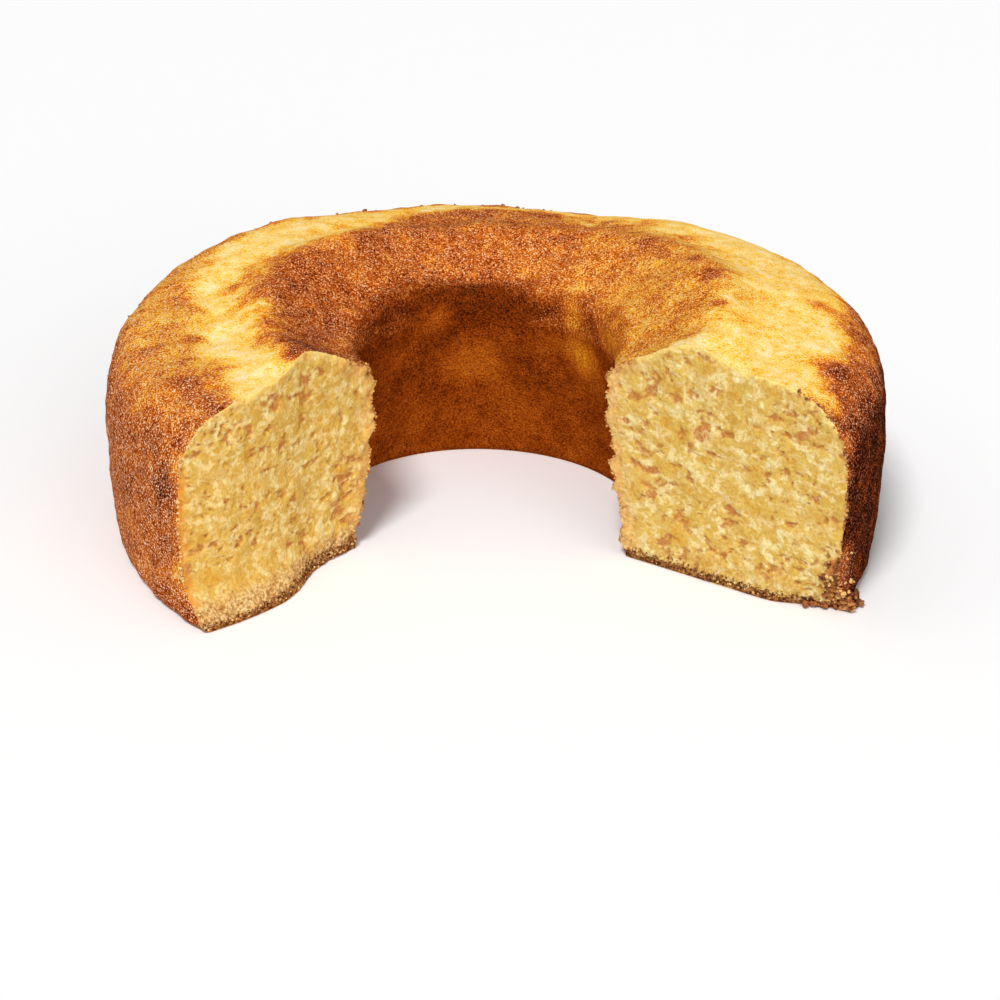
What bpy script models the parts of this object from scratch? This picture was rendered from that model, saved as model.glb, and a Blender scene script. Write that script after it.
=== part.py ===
"""Ring cake with a section cut out of it.

A sponge baked in a ring tin, standing on its flat base.  The outline of one
slice is spun about the middle of the hole, both ends are closed, and the grid
is bent to what the real ring does: the two knife cuts, the uneven rise of the
crown, the split in the top crust, the crumbly foot of each cut face, and the
grain of crust and crumb.

Metres, +Z up.  The cake rests on z = 0 and the open section faces -Y.
"""

import math

import bmesh
import bpy
from mathutils import Vector, noise

# ---------------------------------------------------------------- the ring
RING_RADIUS = 0.1100        # the wall at its widest, before the slight oval
WIDEST_HEIGHT = 0.035       # height of that widest line
BASE_RADIUS = 0.1078        # the wall where it meets the base
WALL_FLARE_POWER = 0.8      # how soon the wall leans out above the base
BASE_CORNER = 0.0040        # height of the rounded outer base corner
BASE_CORNER_INSET = 0.0024
SHOULDER_RADIUS = 0.080     # where the top starts to turn down to the wall
SHOULDER_POWER = 2.8        # 2 is an ellipse, more is squarer
TOP_HEIGHT = 0.0607         # the outer half of the top
CROWN_RADIUS = 0.063        # the ridge round the top
CROWN_RISE = 0.0045         # how far the ridge stands above the outer half
CROWN_WIDTH = 0.009
LIP_RADIUS = 0.0355         # the hole at its narrowest, under the lip
LIP_HEIGHT = 0.0490
LIP_ROUND = 0.0060
LIP_SLOPE_POWER = 1.3       # how the top bends down from the ridge to the lip
HOLE_BASE_RADIUS = 0.0440   # the hole at the base
HOLE_FLARE_POWER = 1.25

# ------------------------------------------------- how it came out uneven
OVAL = -0.032               # wider from front to back than from side to side
OVAL_TURN = math.radians(14)
HOLE_SHIFT = (-0.0033, 0.0015)      # the hole is off the middle at the back
HOLE_SHIFT_REACH = 0.6              # share of the ring's width that goes along
RIGHT_SHIFT_FADE = math.radians(30)  # it comes back to the middle at each cut
LEFT_SHIFT_FADE = math.radians(60)
RISES = (                   # degrees round the ring, and how far above average
    (-34, 0.0018),          # the crown rose there
    (12, 0.0038),
    (48, 0.0018),
    (80, -0.0022),
    (104, -0.0018),
    (138, 0.0012),
    (190, -0.0034),
    (222, -0.0016),
)

# ---------------------------------------------------------- the knife cuts
RIGHT_CUT_TURN = math.radians(-34.3)
RIGHT_CUT_MISS = 0.0        # how far the cut passes the middle of the hole
LEFT_CUT_TURN = math.radians(228)
LEFT_CUT_MISS = 0.0121
FOOT_HEIGHT = 0.012         # the crumbly layer along the base
LEFT_FOOT = 0.0068          # it sticks out of the left cut
LEFT_FOOT_FROM = 0.052
LEFT_FOOT_FULL = 0.080
RIGHT_FOOT = -0.0075        # its corner tore off at the right cut
RIGHT_FOOT_FROM = 0.088
RIGHT_FOOT_FULL = 0.107
LEFT_BULGE = 0.0030         # the left cut face is full across its middle
LEFT_BULGE_RADIUS = 0.087
LEFT_BULGE_WIDTH = 0.024
SCRAP_RADIUS = 0.099        # torn crust on the wall beside that corner
SCRAP_REACH = 0.0030
SCRAP_HEIGHT = 0.009
SCRAP_LENGTH = 0.010

# ------------------------------------------------------- crust and crumb
SPLIT_DEPTH = 0.0020        # the crack where the crown broke through its skin
SPLIT_WIDTH = 0.0032
SPLIT_START = math.radians(46)
SPLIT_END = math.radians(79)
SPLIT_START_RADIUS = 0.0585
SPLIT_END_RADIUS = 0.0885
SWELL = 0.0010              # broad lumps of the top crust
SWELL_SIZE = 0.026
WALL_SWELL = 0.0004         # the tin kept the walls smoother
GRAIN = 0.0004              # small lumps of the crust
GRAIN_SIZE = 0.009
CRUMB = 0.0011              # lumps and pits of the cut faces
CRUMB_SIZE = 0.0065
FLAT_BASE = 0.0015          # below this height nothing moves off the base

# ------------------------------------------------------------------- grid
GRID_ANGLE = 1.0            # radians that stand for the whole ring until it is bent
RING_STEPS = 76
CROWDING = 0.4              # how much closer the steps are at the cuts
CORNER_POINTS = 3
WALL_POINTS = 7
SHOULDER_POINTS = 9
CROWN_POINTS = 6
SLOPE_POINTS = 7
LIP_POINTS = 4
HOLE_POINTS = 8
BASE_POINTS = 7
CELL = 0.0046               # the cells that each cut face is divided into
CELL_SNAP = 0.0009          # a cell line this near to a corner passes through it

CRUST_COLOUR = (0.52, 0.19, 0.035, 1.0)
CRUMB_COLOUR = (0.86, 0.60, 0.20, 1.0)
CRUST_ROUGHNESS = 0.55
CRUMB_ROUGHNESS = 0.85


def smooth(value, start, end):
    """0 before start, 1 after end, and an even curve between them."""
    share = min(max((value - start) / (end - start), 0.0), 1.0)
    return share * share * (3.0 - 2.0 * share)


def wall_radius(height):
    """Radius of the outer wall, which leans out to its widest line."""
    share = min(height / WIDEST_HEIGHT, 1.0)
    flare = math.sin(share * math.pi / 2) ** WALL_FLARE_POWER
    return BASE_RADIUS + (RING_RADIUS - BASE_RADIUS) * flare


def crown_ridge(radius):
    """Height of the ridge above the outer half of the top."""
    away = (radius - CROWN_RADIUS) / CROWN_WIDTH
    return CROWN_RISE * math.exp(-away * away)


def outer_wall():
    """Rounded base corner, then up the wall to its widest line."""
    points = []
    for step in range(CORNER_POINTS):
        turn = math.pi / 2 * step / CORNER_POINTS
        inset = BASE_CORNER_INSET * (1 - math.sin(turn))
        height = BASE_CORNER * (1 - math.cos(turn))
        points.append((wall_radius(BASE_CORNER) - inset, height))
    for step in range(WALL_POINTS):
        share = step / WALL_POINTS
        height = BASE_CORNER + (WIDEST_HEIGHT - BASE_CORNER) * share
        points.append((wall_radius(height), height))
    return points


def top():
    """Over the shoulder, along the crown and down its slope to the lip."""
    points = []
    power = 2.0 / SHOULDER_POWER
    for step in range(SHOULDER_POINTS):
        turn = math.pi / 2 * step / SHOULDER_POINTS
        reach = (RING_RADIUS - SHOULDER_RADIUS) * math.cos(turn) ** power
        lift = (TOP_HEIGHT - WIDEST_HEIGHT) * math.sin(turn) ** power
        points.append((SHOULDER_RADIUS + reach, WIDEST_HEIGHT + lift))
    for step in range(CROWN_POINTS):
        radius = SHOULDER_RADIUS + (CROWN_RADIUS - SHOULDER_RADIUS) * step / CROWN_POINTS
        points.append((radius, TOP_HEIGHT + crown_ridge(radius)))
    lip_start = LIP_RADIUS + LIP_ROUND
    lip_top = LIP_HEIGHT + LIP_ROUND
    crown_height = TOP_HEIGHT + CROWN_RISE
    for step in range(SLOPE_POINTS):
        share = step / SLOPE_POINTS
        radius = CROWN_RADIUS + (lip_start - CROWN_RADIUS) * share
        drop = (crown_height - lip_top) * share ** LIP_SLOPE_POWER
        points.append((radius, crown_height - drop))
    return points


def hole_wall():
    """Round the lip, then down the hole, which widens to the base."""
    points = []
    for step in range(LIP_POINTS):
        turn = math.pi / 2 * step / LIP_POINTS
        radius = LIP_RADIUS + LIP_ROUND * (1 - math.sin(turn))
        points.append((radius, LIP_HEIGHT + LIP_ROUND * math.cos(turn)))
    for step in range(HOLE_POINTS):
        share = step / HOLE_POINTS
        flare = (HOLE_BASE_RADIUS - LIP_RADIUS) * share ** HOLE_FLARE_POWER
        points.append((LIP_RADIUS + flare, LIP_HEIGHT * (1 - share)))
    return points


def base():
    """Back along the flat base to the outer corner."""
    outer = outer_wall()[0][0]
    points = []
    for step in range(BASE_POINTS):
        share = step / BASE_POINTS
        points.append((HOLE_BASE_RADIUS + (outer - HOLE_BASE_RADIUS) * share, 0.0))
    return points


def slice_outline():
    """The closed outline of one slice, as pairs of radius and height."""
    return outer_wall() + top() + hole_wall() + base()


def spin_ring(mesh):
    """Spin the outline through the angle that stands for the whole ring."""
    corners = [mesh.verts.new((radius, 0.0, height)) for radius, height in slice_outline()]
    edges = [
        mesh.edges.new((corner, corners[(place + 1) % len(corners)]))
        for place, corner in enumerate(corners)
    ]
    bmesh.ops.spin(
        mesh,
        geom=corners + edges,
        cent=(0, 0, 0),
        axis=(0, 0, 1),
        angle=GRID_ANGLE,
        steps=RING_STEPS,
        use_merge=False,
    )


def cut_through(mesh, faces, across, place):
    """Divide faces along the plane that lies place along the way across."""
    edges = {edge for face in faces for edge in face.edges}
    corners = {corner for face in faces for corner in face.verts}
    cut = bmesh.ops.bisect_plane(
        mesh,
        geom=list(faces) + list(edges) + list(corners),
        dist=CELL_SNAP,
        plane_co=across * place,
        plane_no=across,
    )
    return [part for part in cut["geom"] if isinstance(part, bmesh.types.BMFace)]


def close_cut(mesh, edges, outwards):
    """Close one end of the ring with a face, and divide it into cells."""
    faces = bmesh.ops.contextual_create(mesh, geom=edges)["faces"]
    for step in range(1, int((RING_RADIUS - LIP_RADIUS) / CELL)):
        faces = cut_through(mesh, faces, outwards, LIP_RADIUS + CELL * step)
    for step in range(1, int((TOP_HEIGHT + CROWN_RISE) / CELL)):
        faces = cut_through(mesh, faces, Vector((0, 0, 1)), CELL * step)
    for face in faces:
        face.material_index = 1
    return {corner for face in faces for corner in face.verts}


def grid_share(point):
    """How far round the unbent ring a point lies, from 0 at the right cut to 1."""
    return math.atan2(point.y, point.x) / GRID_ANGLE


def close_cuts(mesh):
    """Close both ends of the ring, and say which corners are crumb."""
    open_edges = [edge for edge in mesh.edges if edge.is_boundary]
    right = [edge for edge in open_edges if grid_share(edge.verts[0].co) < 0.5]
    left = [edge for edge in open_edges if grid_share(edge.verts[0].co) > 0.5]
    left_outwards = Vector((math.cos(GRID_ANGLE), math.sin(GRID_ANGLE), 0))
    return close_cut(mesh, right, Vector((1, 0, 0))) | close_cut(mesh, left, left_outwards)


def cut_angle(turn, miss, radius, side):
    """Angle of a straight cut that passes the middle of the hole by miss."""
    return turn + side * math.asin(min(miss / radius, 1.0))


def foot(radius, height, length, start, full):
    """How far the crumbly base layer sticks out of a cut face."""
    low = 1.0 - smooth(height, 0.0, FOOT_HEIGHT)
    return length * low * smooth(radius, start, full)


def left_bulge(radius):
    """How far the left cut face stands out of a straight cut."""
    away = (radius - LEFT_BULGE_RADIUS) / LEFT_BULGE_WIDTH
    return LEFT_BULGE * max(1.0 - away * away, 0.0)


def ring_angle(radius, height, share):
    """Angle round the ring of a point that lies share of the way round."""
    right = cut_angle(RIGHT_CUT_TURN, RIGHT_CUT_MISS, radius, 1)
    right -= foot(radius, height, RIGHT_FOOT, RIGHT_FOOT_FROM, RIGHT_FOOT_FULL) / radius
    left = cut_angle(LEFT_CUT_TURN, LEFT_CUT_MISS, radius, -1)
    left += foot(radius, height, LEFT_FOOT, LEFT_FOOT_FROM, LEFT_FOOT_FULL) / radius
    left += left_bulge(radius) / radius
    crowded = share - CROWDING * math.sin(2 * math.pi * share) / (2 * math.pi)
    return right + (left - right) * crowded


def crown_rise(angle):
    """How much higher the crown rose at this angle than on average."""
    place = math.degrees(angle)
    for (start, low), (end, high) in zip(RISES, RISES[1:]):
        if place <= end:
            return low + (high - low) * smooth(place, start, end)
    return RISES[-1][1]


def split_depth(radius, angle):
    """Depth of the crack, which runs outwards across the top at the back."""
    share = (angle - SPLIT_START) / (SPLIT_END - SPLIT_START)
    if share < 0.0 or share > 1.0:
        return 0.0
    middle = SPLIT_START_RADIUS + (SPLIT_END_RADIUS - SPLIT_START_RADIUS) * share
    away = (radius - middle) / SPLIT_WIDTH
    return SPLIT_DEPTH * math.exp(-away * away) * math.sin(share * math.pi) ** 0.5


def hole_shift(angle, inward):
    """How far the hole is off the middle of the ring at this angle."""
    from_right = smooth(angle - RIGHT_CUT_TURN, 0.0, RIGHT_SHIFT_FADE)
    from_left = smooth(LEFT_CUT_TURN - angle, 0.0, LEFT_SHIFT_FADE)
    across, back = HOLE_SHIFT
    share = inward * from_right * from_left
    return Vector((across * share, back * share, 0.0))


def scrap_reach(height, arc):
    """How far the torn corner by the right cut stands out of the wall."""
    low = 1.0 - smooth(height, 0.3 * SCRAP_HEIGHT, SCRAP_HEIGHT)
    near = 1.0 - smooth(arc, 0.3 * SCRAP_LENGTH, SCRAP_LENGTH)
    return SCRAP_REACH * low * near


def bend(point):
    """Carry one point of the straight grid to its place on the real ring."""
    radius = math.hypot(point.x, point.y)
    angle = ring_angle(radius, point.z, grid_share(point))
    raised = min(max((point.z - WIDEST_HEIGHT) / (TOP_HEIGHT - WIDEST_HEIGHT), 0.0), 1.0)
    height = point.z + raised * crown_rise(angle)
    if point.z > LIP_HEIGHT:
        height -= split_depth(radius, angle)
    outward = min(max((radius - LIP_RADIUS) / (RING_RADIUS - LIP_RADIUS), 0.0), 1.0)
    reach = radius * (1 + OVAL * math.cos(2 * (angle - OVAL_TURN)) * outward)
    if radius > SCRAP_RADIUS:
        edge = ring_angle(radius, point.z, 0.0)
        reach += scrap_reach(point.z, (angle - edge) * radius)
    place = Vector((reach * math.cos(angle), reach * math.sin(angle), height))
    return place + hole_shift(angle, 1.0 - smooth(outward, 0.0, HOLE_SHIFT_REACH))


def lump(point, size):
    """Smooth noise between about -1 and 1, with lumps of this size."""
    smoothness, finer, layers = 1.0, 2.0, 2
    return noise.fractal(point / size, smoothness, finer, layers)


def roughen(mesh, crumb_corners):
    """Move the surface in and out: broad and small lumps, and open crumb."""
    mesh.normal_update()
    moves = []
    for corner in mesh.verts:
        above = smooth(corner.co.z, 0.0, FLAT_BASE)
        on_top = smooth(corner.co.z, WIDEST_HEIGHT, TOP_HEIGHT)
        swell = WALL_SWELL + (SWELL - WALL_SWELL) * on_top
        move = swell * lump(corner.co, SWELL_SIZE)
        move += GRAIN * lump(corner.co, GRAIN_SIZE)
        if corner in crumb_corners:
            move += CRUMB * lump(corner.co, CRUMB_SIZE)
        moves.append(corner.normal * move * above)
    for corner, move in zip(mesh.verts, moves):
        corner.co += move


def settle(mesh):
    """Stand the cake on z = 0, centred over the origin."""
    low = Vector([min(corner.co[axis] for corner in mesh.verts) for axis in range(3)])
    high = Vector([max(corner.co[axis] for corner in mesh.verts) for axis in range(3)])
    middle = (low + high) / 2
    bmesh.ops.translate(mesh, verts=mesh.verts, vec=(-middle.x, -middle.y, -low.z))


def plain_material(name, colour, roughness):
    """A matt material of one colour."""
    material = bpy.data.materials.new(name)
    material.use_nodes = True
    shader = material.node_tree.nodes["Principled BSDF"]
    shader.inputs["Base Color"].default_value = colour
    shader.inputs["Roughness"].default_value = roughness
    shader.inputs["Metallic"].default_value = 0.0
    material.diffuse_color = colour
    return material


def build_ring_cake(collection):
    """Build the cake as one closed solid."""
    mesh = bmesh.new()
    spin_ring(mesh)
    crumb_corners = close_cuts(mesh)
    for corner in mesh.verts:
        corner.co = bend(corner.co)
    bmesh.ops.recalc_face_normals(mesh, faces=mesh.faces)
    roughen(mesh, crumb_corners)
    settle(mesh)
    bmesh.ops.triangulate(mesh, faces=mesh.faces)
    data = bpy.data.meshes.new("ring_cake")
    mesh.to_mesh(data)
    mesh.free()
    data.materials.append(plain_material("browned_crust", CRUST_COLOUR, CRUST_ROUGHNESS))
    data.materials.append(plain_material("open_crumb", CRUMB_COLOUR, CRUMB_ROUGHNESS))
    data.shade_smooth()
    data.set_sharp_from_angle(angle=math.radians(50))
    collection.objects.link(bpy.data.objects.new("ring_cake", data))


for old in list(bpy.data.objects):
    bpy.data.objects.remove(old, do_unlink=True)

cake = bpy.data.collections.new("ring_cake")
bpy.context.scene.collection.children.link(cake)
build_ring_cake(cake)
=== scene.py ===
"""The look of an orange ring cake with a section cut out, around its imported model."""

import math
import random

import bmesh
import bpy
from mathutils import Matrix, Vector, kdtree, noise


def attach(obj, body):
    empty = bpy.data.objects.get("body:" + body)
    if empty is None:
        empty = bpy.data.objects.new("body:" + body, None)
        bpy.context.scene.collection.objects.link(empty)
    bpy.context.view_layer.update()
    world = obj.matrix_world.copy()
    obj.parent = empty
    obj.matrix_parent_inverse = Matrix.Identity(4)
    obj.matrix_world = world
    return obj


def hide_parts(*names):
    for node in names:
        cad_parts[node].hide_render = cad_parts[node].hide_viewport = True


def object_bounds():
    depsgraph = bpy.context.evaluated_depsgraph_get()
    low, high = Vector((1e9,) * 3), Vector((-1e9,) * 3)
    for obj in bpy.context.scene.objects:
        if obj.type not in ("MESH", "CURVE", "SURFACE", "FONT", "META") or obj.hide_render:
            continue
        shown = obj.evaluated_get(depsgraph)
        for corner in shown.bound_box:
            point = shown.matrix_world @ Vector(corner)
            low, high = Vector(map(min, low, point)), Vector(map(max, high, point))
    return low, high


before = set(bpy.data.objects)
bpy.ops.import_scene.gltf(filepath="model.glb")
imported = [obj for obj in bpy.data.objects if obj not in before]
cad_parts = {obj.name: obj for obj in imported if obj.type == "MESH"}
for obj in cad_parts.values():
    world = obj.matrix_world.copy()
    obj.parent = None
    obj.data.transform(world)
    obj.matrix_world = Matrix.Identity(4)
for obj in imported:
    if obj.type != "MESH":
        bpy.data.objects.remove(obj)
cad_low, cad_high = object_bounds()

# ---------------------------------------------------------------------------
# The sponge: one ring of orange batter, baked in a tin until its skin browned,
# turned out on its flat base and cut twice with a knife.  Its form is the packed
# solid's, merged, given back its four-sided faces and divided into fine ones.
# ---------------------------------------------------------------------------
RING_MIDDLE = Vector((-0.0001, cad_high.y - 0.1130, 0.0))     # 113 mm in front of its back
RIGHT_CUT = -34.3                   # degrees round the ring
LEFT_CUT = 228.0
LEFT_CUT_MISS = 0.0121              # how far the left cut passes the middle
CUT_BAND = 0.012                    # a cut face lies within this of its cut line
CUT_FACING = 0.55                   # and faces along the ring at least this much
BASE_FACING = -0.99                 # the base faces down at least this much
SAME_PLACE = 0.00001                # corners this near each other are one
JOIN_BEND, JOIN_SKEW = math.radians(50), math.radians(60)   # most that two joined triangles have
CUT_CREASE = 0.75                   # a knife's edge, softened a little
BASE_CREASE = 1.0
FINE_LEVELS = 2


def smooth(value, start, end):
    """0 before start, 1 after end, and an even curve between them."""
    share = min(max((value - start) / (end - start), 0.0), 1.0)
    return share * share * (3.0 - 2.0 * share)


def ring_place(point):
    """Radius, and degrees round the ring counted from the right, of a point."""
    away = point - RING_MIDDLE
    degrees = math.degrees(math.atan2(away.y, away.x))
    if degrees < -90.0:
        degrees += 360.0
    return math.hypot(away.x, away.y), degrees


def cut_distance(point):
    """How far a point lies from the nearer of the two cut lines."""
    radius, degrees = ring_place(point)
    left_cut = LEFT_CUT - math.degrees(math.asin(min(LEFT_CUT_MISS / radius, 1.0)))
    nearer = min(abs(degrees - RIGHT_CUT), abs(degrees - left_cut))
    return math.radians(nearer) * radius


def faces_along_ring(face):
    """How much a face looks along the ring, as a knife's cut does."""
    away = face.calc_center_median() - RING_MIDDLE
    along = Vector((-away.y, away.x, 0.0)).normalized()
    return abs(face.normal.dot(along))


def is_cut_face(face):
    """True on the open crumb that the knife left."""
    near = cut_distance(face.calc_center_median()) < CUT_BAND
    return near and faces_along_ring(face) > CUT_FACING


CRUST, CRUMB, BASE = 0, 1, 2        # the sponge's material slots

sponge = bmesh.new()
sponge.from_mesh(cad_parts["ring_cake"].data)
bmesh.ops.remove_doubles(sponge, verts=sponge.verts, dist=SAME_PLACE)
sponge.normal_update()
for face in sponge.faces:
    face.material_index = CRUST
    if is_cut_face(face):
        face.material_index = CRUMB
    elif face.normal.z < BASE_FACING:
        face.material_index = BASE
bmesh.ops.join_triangles(
    sponge,
    faces=sponge.faces,
    cmp_materials=True,
    angle_face_threshold=JOIN_BEND,
    angle_shape_threshold=JOIN_SKEW,
)
crease = sponge.edges.layers.float.new("crease_edge")
for edge in sponge.edges:
    slots = {face.material_index for face in edge.link_faces}
    if BASE in slots and len(slots) > 1:
        edge[crease] = BASE_CREASE
    elif len(slots) > 1:
        edge[crease] = CUT_CREASE

rough_mesh = bpy.data.meshes.new("sponge_form")
sponge.to_mesh(rough_mesh)
sponge.free()
rough = bpy.data.objects.new("sponge_form", rough_mesh)
bpy.context.scene.collection.objects.link(rough)
finer = rough.modifiers.new("finer", "SUBSURF")
finer.levels = finer.render_levels = FINE_LEVELS
evaluated = rough.evaluated_get(bpy.context.evaluated_depsgraph_get())
fine_mesh = bpy.data.meshes.new_from_object(evaluated)
bpy.data.objects.remove(rough)

sponge = bmesh.new()
sponge.from_mesh(fine_mesh)
bpy.data.meshes.remove(fine_mesh)
cut_edges = {edge for face in sponge.faces if face.material_index == CRUMB for edge in face.edges}
bmesh.ops.subdivide_edges(sponge, edges=list(cut_edges), cuts=1, use_grid_fill=True)
sponge.normal_update()

# ---------------------------------------------------------------------------
# The bake: where the tin and the oven browned the skin, and where it stayed pale.
# The hole's side browned out over the crown, the wall browned in over the
# shoulder, and a pale band of soft skin was left between them.
# ---------------------------------------------------------------------------
SKIN_REACH = (                      # degrees, full brown out to and gone by, in mm
    (-35, 46, 61), (-22, 50, 68), (-5, 54, 72), (10, 58, 77), (35, 60, 80), (50, 66, 86),
    (66, 80, 94), (85, 87, 97), (105, 86, 96), (117, 72, 86), (135, 58, 75), (150, 61, 79),
    (165, 63, 82), (185, 54, 75), (198, 57, 73), (208, 59, 72), (215, 61, 70), (232, 61, 69),
)
WALL_REACH = (                      # degrees, brown starts at and is full from, in mm
    (-35, 92, 106), (-23, 86, 105), (-13, 91, 106), (-2, 88, 104), (12, 93, 106),
    (45, 97, 106), (90, 97, 103), (118, 95, 102), (131, 93, 101), (144, 91, 98),
    (155, 88, 98), (163, 84, 97), (172, 78, 92), (182, 74, 88), (194, 74, 85),
    (207, 77, 87), (214, 80, 90), (221, 86, 95), (232, 89, 98),
)
SKIN_BROWN = (                      # degrees, and how brown the inner skin is
    (-35, 0.37), (20, 0.37), (50, 0.42), (75, 0.51), (110, 0.54), (165, 0.58), (200, 0.60),
    (215, 0.63), (232, 0.66),
)
WALL_BROWN = (                      # degrees, and how brown the shoulder and the wall are
    (-35, 0.70, 0.90), (10, 0.64, 0.90), (60, 0.60, 0.82), (130, 0.50, 0.70), (155, 0.40, 0.62),
    (175, 0.33, 0.57), (195, 0.37, 0.57), (212, 0.48, 0.58), (232, 0.53, 0.58),
)
BROWNED_SPOTS = (                   # degrees, out and up in mm, reach in mm, how much browner
    (214, 65, 63, 7, 0.18),         # the scorched skin by the left cut
    (206, 58, 61, 8, 0.14),
    # a paler spot: a painted highlight on the lip by the left cut
    (196, 47, 55, 6, -0.08),
    (182, 41, 51, 6, -0.08),
    (210, 92, 58, 6, 0.18),         # the blotches of the left shoulder
    (220, 92, 58, 7, 0.22),
    # a paler spot: painted sheen where the light falls on the left shoulder
    (204, 101, 52, 10, -0.06),
    (190, 82, 57, 5, 0.18),
    (200, 88, 57, 5, 0.14),
    (190, 93, 55, 5, 0.12),
    (171, 88, 58, 5, 0.12),
    (218, 107, 37, 8, 0.18),        # the left wall: a dark patch, and amber along the cut
    (221, 107, 46, 5, -0.18),
    (222, 107, 27, 6, -0.18),
    (222, 107, 14, 9, -0.20),
    (207, 106, 12, 16, -0.06),
    (45, 61, 67, 5, 0.18),          # the islands in the amber skin on the right
    (36, 57, 67, 5, 0.16),
    (57, 70, 64, 6, 0.14),
    (24, 60, 69, 5, 0.18),
    (10, 60, 69, 6, 0.20),
    (-7, 60, 68, 4, 0.18),
    (-25, 57, 65, 4, 0.16),
    (-21, 49, 62, 4, 0.10),
    (-23, 42, 57, 4, 0.08),
    (-21, 80, 63, 8, -0.07),
    (-14, 68, 67, 9, 0.08),
    (2, 73, 65, 9, 0.07),
    (1, 89, 63, 7, 0.26),           # the tongues at the right shoulder
    (4, 97, 60, 6, 0.12),
    (-22, 94, 62, 8, 0.20),
    (-21, 87, 63, 6, 0.10),
    (124, 83, 61, 6, 0.20),         # the flaps and gaps along the split
    (131, 80, 61, 5, 0.16),
    (112, 97, 57, 6, 0.16),
    (115, 84, 60, 4, -0.14),
    (103, 90, 59, 5, -0.24),
    (94, 84, 59, 5, 0.08),
    (82, 91, 58, 7, 0.12),
    (71, 84, 58, 4, -0.26),
    (60, 88, 60, 6, 0.16),
    (45, 80, 63, 7, 0.14),
    (117, 38, 45, 7, -0.16),        # where the hole's wall is paler and golden
    (99, 40, 30, 12, -0.13),
    (68, 37, 38, 8, -0.08),
    # paler on the hole's right, which faces the light: painted light
    (47, 35, 40, 11, -0.22),
    (53, 34, 50, 6, -0.26),
    (41, 36, 32, 12, -0.12),
    (80, 41, 16, 12, -0.05),
    (70, 38, 53, 6, -0.16),         # and its lip on the right, kept paler where it faces the light: painted light
    (57, 38, 55, 6, -0.14),
    (18, 33, 49, 9, -0.24),
    (-2, 33, 50, 9, -0.22),
    (-22, 35, 50, 9, -0.22),
    (-31, 101, 57, 7, -0.24),       # the amber skin along the right cut
    (-33, 107, 49, 6, -0.26),
    (-34, 110, 41, 5, -0.22),
    (-33, 110, 14, 10, -0.26),
)
HOLE_LIP = (                        # degrees, and how far out the hole's own brown reaches, in mm
    (-35, 33), (30, 33), (46, 34), (60, 35), (71, 37), (80, 39), (89, 41), (101, 42),
    (112, 43), (122, 41.5), (133, 40.5), (152, 40), (163, 38), (175, 36), (232, 36),
)
LIP_INSIDE, LIP_OUTSIDE = 0.0036, 0.0058    # the lip's brown fades from here to there
LIP_WANDER, LIP_WANDER_SIZE = 0.0014, 0.007 # and wanders this far in and out
HOLE_TOP = 0.049                    # the hole's side lies below this height
HOLE_SIDE = 0.047                   # and nearer to the ring's middle than this
HOLE_FADE = 0.006                   # its colour fades out over this much
HOLE_BROWN = 0.76
UNDER_LIP = 0.08                    # browner just under the hole's lip: painted shade under the lip
LOW_HOLE = 0.05                     # and a little paler low down,
LOW_SIDE = (0.008, 0.034)           # in full below one height and no longer above the other
WALL_TOP = 0.046                    # above this the wall has become the shoulder
SHOULDER_FADE = 0.009               # over this height
SPOT_HEART = 0.2                    # a spot changes in full out to this share of its reach
BAND_MIDDLE = 0.080                 # how far out the middle of the pale band runs
PALE_BROWN = (                      # degrees, and how brown the pale band is
    (-35, 0.17), (45, 0.17), (90, 0.23), (125, 0.17), (160, 0.15), (232, 0.15),
)
EDGE_WANDER, EDGE_WANDER_SIZE = 0.0040, 0.013       # how far the brown skin's edge wanders
PALE_STREAK = 0.07                  # the pale skin's streaks run round the ring
STREAK_SIZE = Vector((0.014, 0.0035))


def at_angle(rows, degrees, column=1):
    """A row's value at this angle, eased from row to row."""
    for low, high in zip(rows, rows[1:]):
        if degrees <= high[0]:
            return low[column] + (high[column] - low[column]) * smooth(degrees, low[0], high[0])
    return rows[-1][column]


def lumps(point, size, layers=2):
    """Soft noise between about -1 and 1, with lumps of this size."""
    return noise.fractal(point / size, 1.0, 2.0, layers)


def ring_point(degrees, out, up):
    """The point at this angle, this far out from the ring's middle and this high."""
    turn = math.radians(degrees)
    return RING_MIDDLE + Vector((out * math.cos(turn), out * math.sin(turn), up))


def skin_cover(point, radius, degrees):
    """How far the inner skin and the wall's crust cover this point, each 0 to 1."""
    wander = EDGE_WANDER * lumps(point, EDGE_WANDER_SIZE)
    full, gone = (at_angle(SKIN_REACH, degrees, column) / 1000 + wander for column in (1, 2))
    inner = 1.0 - smooth(radius, full, gone)
    starts, whole = (at_angle(WALL_REACH, degrees, column) / 1000 + wander for column in (1, 2))
    outer = smooth(radius, starts, whole)
    if point.z < WALL_TOP and radius > BAND_MIDDLE:
        outer = 1.0
    return inner, outer


def on_hole_side(point, radius, degrees):
    """1 on the hole's side and 0 on the crown."""
    lip = at_angle(HOLE_LIP, degrees) / 1000 + LIP_WANDER * lumps(point, LIP_WANDER_SIZE)
    inside = 1.0 - smooth(radius, lip - LIP_INSIDE, lip + LIP_OUTSIDE)
    below = 1.0 - smooth(point.z, HOLE_TOP - HOLE_FADE, HOLE_TOP)
    return max(inside, below) * (1.0 - smooth(radius, HOLE_SIDE, HOLE_SIDE + HOLE_FADE))


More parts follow.
